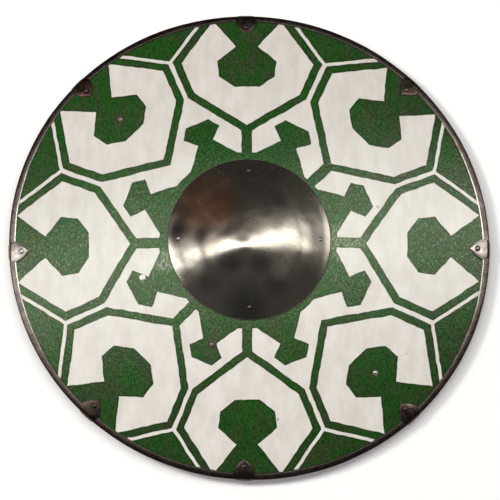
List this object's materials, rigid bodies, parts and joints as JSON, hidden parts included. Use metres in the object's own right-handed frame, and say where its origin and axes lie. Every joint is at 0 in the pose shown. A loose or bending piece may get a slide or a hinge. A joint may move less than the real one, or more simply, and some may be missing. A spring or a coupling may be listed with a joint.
{
  "type": "wooden round shield",
  "caption": "Dished wooden round shield with a painted geometric face, pointed steel boss, steel rim held by riveted leaf clips, and a grip lath and forearm strap behind.",
  "frame": {"origin": "on the floor under the middle of the shield, which lies face up on its rim", "axes": "+Z out of the painted face, +Y to the top of the face, +X to its right"},
  "size_m": [0.6136, 0.6136, 0.0868],
  "materials": {
    "board": "green and off-white satin paint on the face, bare wood behind",
    "rim_steel": "dark hand-bent sheet steel",
    "boss_steel": "polished dark steel with a faint brown heat tint",
    "rivet_steel": "hammered steel",
    "lath_wood": "oiled wood",
    "strap_leather": "brown vegetable-tanned leather"
  },
  "bodies": {
    "root": {"board": "board", "rim": "rim_steel", "boss": "boss_steel", "grip_lath": "lath_wood", "forearm_strap": "strap_leather", "rim_clip_e": "rim_steel", "rim_clip_ne": "rim_steel", "rim_clip_n": "rim_steel", "rim_clip_nw": "rim_steel", "rim_clip_w": "rim_steel", "rim_clip_sw": "rim_steel", "rim_clip_s": "rim_steel", "rim_clip_se": "rim_steel", "clip_rivet_e": "rivet_steel", "clip_rivet_ne": "rivet_steel", "clip_rivet_n": "rivet_steel", "clip_rivet_nw": "rivet_steel", "clip_rivet_w": "rivet_steel", "clip_rivet_sw": "rivet_steel", "clip_rivet_s": "rivet_steel", "clip_rivet_se": "rivet_steel", "boss_rivet_e": "rivet_steel", "boss_rivet_n": "rivet_steel", "boss_rivet_w": "rivet_steel", "boss_rivet_s": "rivet_steel", "lath_rivet_nw": "rivet_steel", "lath_rivet_se": "rivet_steel", "strap_rivet_w": "rivet_steel", "strap_rivet_s": "rivet_steel"}
  },
  "joints": []
}
